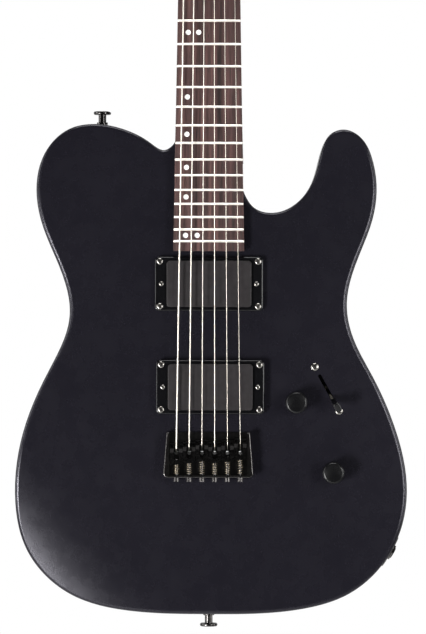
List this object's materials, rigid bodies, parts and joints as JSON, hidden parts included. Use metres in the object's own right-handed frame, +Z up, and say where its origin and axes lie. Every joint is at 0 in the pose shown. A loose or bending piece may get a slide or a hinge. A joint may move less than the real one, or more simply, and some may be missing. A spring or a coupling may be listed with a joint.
{
  "type": "electric guitar",
  "caption": "Solid-body electric guitar with bolt-on neck, through-body strings, two covered pickups in rings, round knobs and a blade selector.",
  "frame": {"origin": "on the flat back of the body, on the centreline, behind the nominal bridge line (one scale length below the nut)", "axes": "+X to the treble side, +Y out of the back of the body, +Z up the neck to the headstock; the front faces -Y"},
  "size_m": [0.3233, 0.0645, 0.9944],
  "materials": {
    "satin_black_wood": "satin black lacquer over wood",
    "neck_wood": "satin black stained maple",
    "rosewood": "oiled open-pored rosewood",
    "pearl": "pearl white inlay",
    "fret_wire": "polished nickel silver",
    "nut_black": "black moulded",
    "steel": "plain steel",
    "black_plastic": "glossy black",
    "pickup_plastic": "fine matt grain, dark grey",
    "black_nickel": "black nickel plate",
    "string_steel": "bright nickel-plated steel",
    "spring_steel": "drawn wire",
    "knob_black": "satin black",
    "pot_metal": "plated can",
    "battery_case": "plain dark wrap"
  },
  "bodies": {
    "guitar": {"body": "satin_black_wood", "neck": "neck_wood", "fretboard": "rosewood", "fret_markers": "pearl", "frets": "fret_wire", "nut": "nut_black", "truss_rod": "steel", "truss_rod_cover": "black_plastic", "neck_ferrules": "black_nickel", "neck_screws": "black_nickel", "strings": "string_steel", "string_tree": "black_nickel", "string_ferrules": "black_nickel", "bridge_plate": "black_nickel", "bridge_screws": "black_nickel", "intonation_screws": "black_nickel", "intonation_springs": "spring_steel", "tuner_housings": "black_nickel", "tuner_bushings": "black_nickel", "neck_pickup_ring": "black_plastic", "bridge_pickup_ring": "black_plastic", "pickup_ring_screws": "black_nickel", "pickup_height_screws": "black_nickel", "pickup_springs": "spring_steel", "potentiometers": "pot_metal", "selector_switch": "steel", "selector_screws": "black_nickel", "output_jack": "black_nickel", "jack_plate": "black_nickel", "strap_buttons": "black_nickel", "strap_screws": "black_nickel", "control_cover": "black_plastic", "small_screws": "black_nickel", "battery": "battery_case"},
    "tuner_button_1": {"tuner_button_1": "black_nickel"},
    "tuner_post_1": {"tuner_post_1": "black_nickel"},
    "tuner_button_2": {"tuner_button_2": "black_nickel"},
    "tuner_post_2": {"tuner_post_2": "black_nickel"},
    "tuner_button_3": {"tuner_button_3": "black_nickel"},
    "tuner_post_3": {"tuner_post_3": "black_nickel"},
    "tuner_button_4": {"tuner_button_4": "black_nickel"},
    "tuner_post_4": {"tuner_post_4": "black_nickel"},
    "tuner_button_5": {"tuner_button_5": "black_nickel"},
    "tuner_post_5": {"tuner_post_5": "black_nickel"},
    "tuner_button_6": {"tuner_button_6": "black_nickel"},
    "tuner_post_6": {"tuner_post_6": "black_nickel"},
    "saddle_1": {"saddle_1": "black_nickel"},
    "saddle_2": {"saddle_2": "black_nickel"},
    "saddle_3": {"saddle_3": "black_nickel"},
    "saddle_4": {"saddle_4": "black_nickel"},
    "saddle_5": {"saddle_5": "black_nickel"},
    "saddle_6": {"saddle_6": "black_nickel"},
    "neck_pickup": {"neck_pickup": "pickup_plastic"},
    "bridge_pickup": {"bridge_pickup": "pickup_plastic"},
    "volume_control": {"volume_knob": "knob_black", "volume_shaft": "steel"},
    "tone_control": {"tone_knob": "knob_black", "tone_shaft": "steel"},
    "selector": {"selector_lever": "steel", "selector_tip": "black_plastic"}
  },
  "joints": [
    {"name": "tuner_1_turn", "type": "hinge", "parent": "guitar", "child": "tuner_button_1", "pos_m": [-0.02183, -0.026, 0.68002], "axis": [-0.9649, 0, 0.2625], "continuous": true, "deforming": ["strings"]},
    {"name": "tuner_post_1_turn", "type": "hinge", "parent": "guitar", "child": "tuner_post_1", "pos_m": [-0.0202, -0.0305, 0.686], "axis": [0, -1, 0], "continuous": true, "deforming": ["strings"]},
    {"name": "tuner_2_turn", "type": "hinge", "parent": "guitar", "child": "tuner_button_2", "pos_m": [-0.01503, -0.026, 0.70502], "axis": [-0.9649, 0, 0.2625], "continuous": true, "deforming": ["strings"]},
    {"name": "tuner_post_2_turn", "type": "hinge", "parent": "guitar", "child": "tuner_post_2", "pos_m": [-0.0134, -0.0305, 0.711], "axis": [0, -1, 0], "continuous": true, "deforming": ["strings"]},
    {"name": "tuner_3_turn", "type": "hinge", "parent": "guitar", "child": "tuner_button_3", "pos_m": [-0.00823, -0.026, 0.73002], "axis": [-0.9649, 0, 0.2625], "continuous": true, "deforming": ["strings"]},
    {"name": "tuner_post_3_turn", "type": "hinge", "parent": "guitar", "child": "tuner_post_3", "pos_m": [-0.0066, -0.0305, 0.736], "axis": [0, -1, 0], "continuous": true, "deforming": ["strings"]},
    {"name": "tuner_4_turn", "type": "hinge", "parent": "guitar", "child": "tuner_button_4", "pos_m": [-0.00143, -0.026, 0.75502], "axis": [-0.9649, 0, 0.2625], "continuous": true, "deforming": ["strings"]},
    {"name": "tuner_post_4_turn", "type": "hinge", "parent": "guitar", "child": "tuner_post_4", "pos_m": [0.0002, -0.0305, 0.761], "axis": [0, -1, 0], "continuous": true, "deforming": ["strings"]},
    {"name": "tuner_5_turn", "type": "hinge", "parent": "guitar", "child": "tuner_button_5", "pos_m": [0.00537, -0.026, 0.78002], "axis": [-0.9649, 0, 0.2625], "continuous": true, "deforming": ["strings"]},
    {"name": "tuner_post_5_turn", "type": "hinge", "parent": "guitar", "child": "tuner_post_5", "pos_m": [0.007, -0.0305, 0.786], "axis": [0, -1, 0], "continuous": true, "deforming": ["strings"]},
    {"name": "tuner_6_turn", "type": "hinge", "parent": "guitar", "child": "tuner_button_6", "pos_m": [0.01217, -0.026, 0.80502], "axis": [-0.9649, 0, 0.2625], "continuous": true, "deforming": ["strings"]},
    {"name": "tuner_post_6_turn", "type": "hinge", "parent": "guitar", "child": "tuner_post_6", "pos_m": [0.0138, -0.0305, 0.811], "axis": [0, -1, 0], "continuous": true, "deforming": ["strings"]},
    {"name": "saddle_1_slide", "type": "slide", "parent": "guitar", "child": "saddle_1", "axis": [0, 0, 1], "range_m": [-0.0025, 0.0025], "deforming": ["strings", "intonation_springs"]},
    {"name": "saddle_2_slide", "type": "slide", "parent": "guitar", "child": "saddle_2", "axis": [0, 0, 1], "range_m": [-0.0025, 0.0025], "deforming": ["strings", "intonation_springs"]},
    {"name": "saddle_3_slide", "type": "slide", "parent": "guitar", "child": "saddle_3", "axis": [0, 0, 1], "range_m": [-0.0025, 0.0025], "deforming": ["strings", "intonation_springs"]},
    {"name": "saddle_4_slide", "type": "slide", "parent": "guitar", "child": "saddle_4", "axis": [0, 0, 1], "range_m": [-0.0025, 0.0025], "deforming": ["strings", "intonation_springs"]},
    {"name": "saddle_5_slide", "type": "slide", "parent": "guitar", "child": "saddle_5", "axis": [0, 0, 1], "range_m": [-0.0025, 0.0025], "deforming": ["strings", "intonation_springs"]},
    {"name": "saddle_6_slide", "type": "slide", "parent": "guitar", "child": "saddle_6", "axis": [0, 0, 1], "range_m": [-0.0025, 0.0025], "deforming": ["strings", "intonation_springs"]},
    {"name": "neck_pickup_slide", "type": "slide", "parent": "guitar", "child": "neck_pickup", "axis": [0, -1, 0], "range_m": [-0.003, 0.0015], "deforming": ["pickup_springs"]},
    {"name": "bridge_pickup_slide", "type": "slide", "parent": "guitar", "child": "bridge_pickup", "axis": [0, -1, 0], "range_m": [-0.003, 0.0015], "deforming": ["pickup_springs"]},
    {"name": "volume_turn", "type": "hinge", "parent": "guitar", "child": "volume_control", "pos_m": [0.0723, -0.0445, 0.0295], "axis": [0, -1, 0], "range_deg": [-150, 150]},
    {"name": "tone_turn", "type": "hinge", "parent": "guitar", "child": "tone_control", "pos_m": [0.1028, -0.0445, -0.0281], "axis": [0, -1, 0], "range_deg": [-150, 150]},
    {"name": "selector_tilt", "type": "hinge", "parent": "guitar", "child": "selector", "pos_m": [0.0976, -0.026, 0.0406], "axis": [-0.8745, 0, -0.485], "range_deg": [0, 50]}
  ],
  "couplings": [
    {"joint": "tuner_post_1_turn", "follows": "tuner_1_turn", "ratio": 0.055556},
    {"joint": "tuner_post_2_turn", "follows": "tuner_2_turn", "ratio": 0.055556},
    {"joint": "tuner_post_3_turn", "follows": "tuner_3_turn", "ratio": 0.055556},
    {"joint": "tuner_post_4_turn", "follows": "tuner_4_turn", "ratio": 0.055556},
    {"joint": "tuner_post_5_turn", "follows": "tuner_5_turn", "ratio": 0.055556},
    {"joint": "tuner_post_6_turn", "follows": "tuner_6_turn", "ratio": 0.055556}
  ]
}
